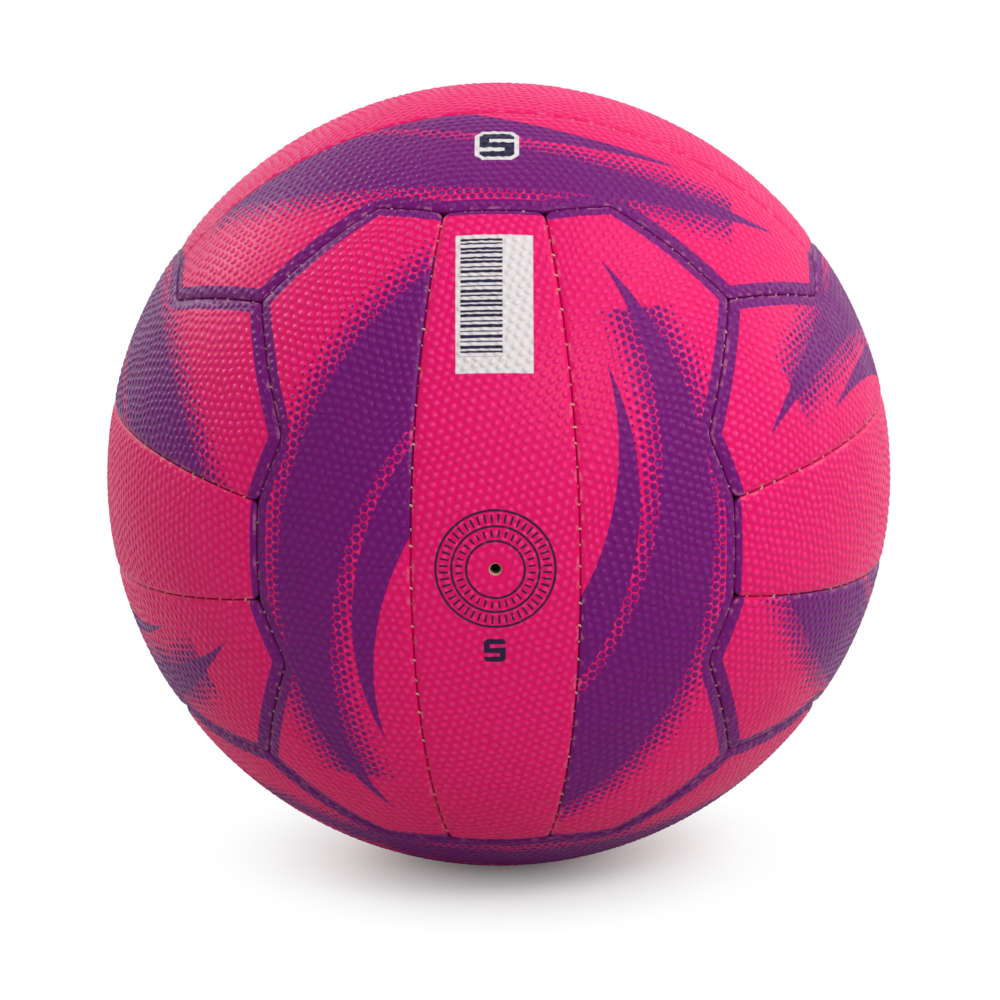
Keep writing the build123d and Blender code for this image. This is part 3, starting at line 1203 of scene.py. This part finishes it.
def skin_material(name, draw, marks=None):
    """Printed rubber: purple over pink, painted shade and highlight on the pebbles, marks, then rubbed
    lips and darker seams.
    """
    material, shader, start = new_material(name)
    sheet = Sheet(start)
    cloud, printed, crown = noise(start, cloud_scale, cloud_detail), draw(sheet), sheet.pebbles()
    clouded = cloud * cloud_share
    painted = printed.blend(clouded.blend(pink, pink_cloud), clouded.blend(purple, purple_cloud))
    # Painted shade: the hollows between the pebbles are darkened.
    painted = ((1 - crown) * painted_shade_share).blend(painted, painted_hollow_shade)
    # Painted highlight: the pebble crowns are lightened, less on the purple print.
    painted = (crown * (crown_highlight_share - printed * highlight_loss_on_print)).blend(painted, crown_highlight_tint)
    for mask, mark_colour in marks(sheet) if marks else ():
        painted = mask.blend(painted, mark_colour)
    edge = sheet.number("edge_mm")
    lip = edge.ramp(*lip_rise) * (1 - edge.ramp(*lip_fall))
    rubbed = lip * noise(start, rub_scale).ramp(*rub_spots) * rub_share
    painted = rubbed.blend(painted, lip_rub)
    # The colour darkens within half a millimetre of the seam, at the bottom of the crack.
    seam_dark = (1 - edge.ramp(*seam_dark_end)) * seam_dark_share
    height = crown + noise(start, grain_scale) * grain_share
    finish = {
        "Base Color": seam_dark.blend(painted, seam_dark_colour),
        "Roughness": rubber_roughness + cloud * cloud_roughness - crown * crown_polish,
        "Normal": bumped(start, height, 1.0, bump_distance),
        "Specular IOR Level": rubber_specular,
    }
    start.plug(shader, finish)
    return material


side_skin = skin_material("side_skin", side_print)
centre_skin = skin_material("centre_skin", centre_print)
valve_skin = skin_material("valve_skin", centre_print, valve_marks)
top_skin = skin_material("top_skin", side_print, top_marks)
for name, skin in skins.items():
    chosen = centre_skin if name.endswith("centre") else side_skin
    chosen = {"front_centre": valve_skin, "top_front": top_skin}.get(name, chosen)
    skin.data.materials.append(chosen)
print(f"{len(skins)} skins painted")

# %% [markdown]
# ## Thread, cloth and valve rubber
# The thread is a waxed twist, so a fine diagonal wave runs round it. The lining and the patch are woven
# cloth, seen only as a pale rim in the needle hole, and the bladder and valve are plain black rubber.

# %% Small materials
thread_dark, thread_light = colour(176, 150, 112), colour(240, 226, 196)
twist_turns, twist_bump, twist_depth = (5, 2), 0.6, 0.0002  # turns along and around
thread_roughness, twist_polish = 0.75, 0.15
cloth_dark, cloth_light = colour(186, 156, 112), colour(222, 200, 160)
weave_scale, cloth_roughness, weave_roughness = 7000, 0.85, 0.1
black_cloud_scale, black_roughness, black_change = 180.0, 0.5, 0.2


def thread_material():
    """Cream thread: a diagonal wave on its own map makes the twist."""
    material, shader, start = new_material("waxed_thread")
    along, around, _ = start.split(start.node("ShaderNodeUVMap", {"uv_map": "twist"}))
    turns = along * twist_turns[0] + around * twist_turns[1]
    share = (turns * (2 * math.pi)).math("SINE") * 0.5 + 0.5
    finish = {
        "Base Color": share.blend(thread_dark, thread_light),
        "Roughness": thread_roughness - share * twist_polish,
        "Normal": bumped(start, share, twist_bump, twist_depth),
    }
    start.plug(shader, finish)
    return material


def cloth_material():
    """Tan woven cloth: crossed waves on the object's coordinates."""
    material, shader, start = new_material("lining_cloth")
    point = start.split(start.node("ShaderNodeTexCoord"), "Object")
    x, y, z = ((axis * weave_scale).math("SINE") for axis in point)
    weave = (x * z + y * z) * 0.25 + 0.5
    finish = {
        "Base Color": weave.blend(cloth_dark, cloth_light),
        "Roughness": cloth_roughness + weave * weave_roughness,
    }
    start.plug(shader, finish)
    return material


def black_rubber_material(name, dark, light):
    """Matt black rubber with faint clouds."""
    material, shader, start = new_material(name)
    cloud = noise(start, black_cloud_scale, cloud_detail)
    roughness = black_roughness + cloud * black_change
    start.plug(shader, {"Base Color": cloud.blend(dark, light), "Roughness": roughness})
    return material


def repaint(piece, material):
    """Gives a piece one material."""
    piece.data.materials.clear()
    piece.data.materials.append(material)


waxed_thread, cloth = thread_material(), cloth_material()
for thread in threads:
    repaint(thread, waxed_thread)
for lining in [*linings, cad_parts["valve_patch"]]:
    repaint(lining, cloth)
bladder_rubber = black_rubber_material("bladder_rubber", colour(18, 17, 17), colour(34, 32, 31))
valve_rubber = black_rubber_material("valve_rubber", colour(24, 20, 17), colour(44, 38, 32))
repaint(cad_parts["bladder"], bladder_rubber)
for name in ("valve_boot", "valve_core"):
    repaint(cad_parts[name], valve_rubber)
print("thread, cloth and rubber painted")

# %% [markdown]
# ## Floor
# The photograph is a product shot on white. The floor is a pale card that takes the soft shadow close
# to the ball. Farther out the eye sees plain white there, straight or in a reflection, while the light
# that the ball gets back comes from the card. The Light Path node tells these rays apart.

# %% A floor that keeps the shadow
floor_half, floor_squares = 3.0, 8
shadow_reach = (0.0, 0.088)  # metres from the point of contact: full shadow, no shadow
mirrored_reach = (0.03, 0.3)  # the same in reflections, which show the floor behind the ball
card_grey, pale_grey, white = (0.58, 0.58, 0.58, 1), (0.85, 0.85, 0.85, 1), (1, 1, 1, 1)


def studio_floor():
    """A flat sheet under the ball, a few squares each way."""
    count = floor_squares + 1
    steps = np.linspace(-floor_half, floor_half, count)
    x, y = np.meshgrid(steps, steps, indexing="ij")
    points = np.stack([x, y, np.full_like(x, cad_low.z)], -1).reshape(-1, 3)
    a = np.arange(count * count).reshape(count, count)[:-1, :-1].ravel()
    c = a + count + 1
    triangles = np.concatenate([np.stack([a, a + count, c], -1), np.stack([a, c, a + 1], -1)])
    return make_mesh("studio_floor", points / MM, triangles)


def eye_rays(start):
    """1 for rays straight from the camera, and 1 for those with mirrored and refracted ones added."""
    path = start.node("ShaderNodeLightPath")
    direct, *others = (start.out(path, f"Is {ray} Ray") for ray in ("Camera", "Glossy", "Transmission"))
    return direct, reduce(Paint.most, others, direct)


def mix_shaders(start, share, first, second):
    """The first shader where the share is 0, the second where it is 1."""
    sockets = {0: share, 1: start.out(first), 2: start.out(second)}
    return start.node("ShaderNodeMixShader", None, sockets)


def floor_material():
    """Pale card that takes the shadow, fading to plain white for the eye away from the ball."""
    material, shader, start = new_material("white_card")
    direct, seen = eye_rays(start)
    x, y, _ = start.split(start.node("ShaderNodeTexCoord"), "Object")
    radius = (x * x + y * y).math("SQRT")
    away = direct * radius.ramp(*shadow_reach) + (1 - direct) * radius.ramp(*mirrored_reach)
    card, pale = (
        start.node("ShaderNodeBsdfDiffuse", None, {"Color": grey}) for grey in (card_grey, pale_grey)
    )
    glow = start.node("ShaderNodeEmission", None, {"Color": white, "Strength": 1.0})
    floor_shader = mix_shaders(start, seen, card, mix_shaders(start, away, pale, glow))
    start.plug(start.tree.nodes["Material Output"], {"Surface": start.out(floor_shader)})
    start.tree.nodes.remove(shader)
    return material


floor = studio_floor()
repaint(floor, floor_material())
print(f"floor {2 * floor_half:.0f} m wide at {cad_low.z:.4f} m")

# %% [markdown]
# ## Light
# A soft key lamp hangs above on the right, and one above the camera's right lights the front. Two
# behind, on the left and right, draw a pale sheen along the sides, and the world fills in from all
# round. For the eye the world is plain white, like the floor.

# %% Lamps and world
lamps = {  # place in metres, size in metres, power in watts
    "key_lamp": ((0.85, -0.05, 1.35), 0.6, 7),
    "camera_lamp": ((0.6, -1.15, 1.0), 0.4, 11),
    "side_lamp": ((1.2, 0.55, 0.45), 0.5, 3),
    "sheen_lamp": ((-0.95, 0.75, 0.65), 0.45, 6.5),
}
fill_strength = 0.425


def soft_lamp(name, position, size, power):
    """A square area lamp aimed at the ball's centre."""
    data = bpy.data.lights.new(name, "AREA")
    data.size, data.energy = size, power
    lamp = bpy.data.objects.new(name, data)
    aim = (-Vector(position)).to_track_quat("-Z", "Y")
    lamp.matrix_world = Matrix.Translation(position) @ aim.to_matrix().to_4x4()
    bpy.context.scene.collection.objects.link(lamp)


for name, lamp in lamps.items():
    soft_lamp(name, *lamp)
world = bpy.data.worlds.new("studio")
world.use_nodes = True
bpy.context.scene.world = world
start = Paint(world.node_tree)
fill, backdrop = (
    start.node("ShaderNodeBackground", None, {"Color": white, "Strength": strength})
    for strength in (fill_strength, 1.0)
)
sky = mix_shaders(start, eye_rays(start)[1], fill, backdrop)
start.plug(world.node_tree.nodes["World Output"], {"Surface": start.out(sky)})
world.node_tree.nodes.remove(world.node_tree.nodes["Background"])
print(f"{len(lamps)} lamps and a fill of {fill_strength}")
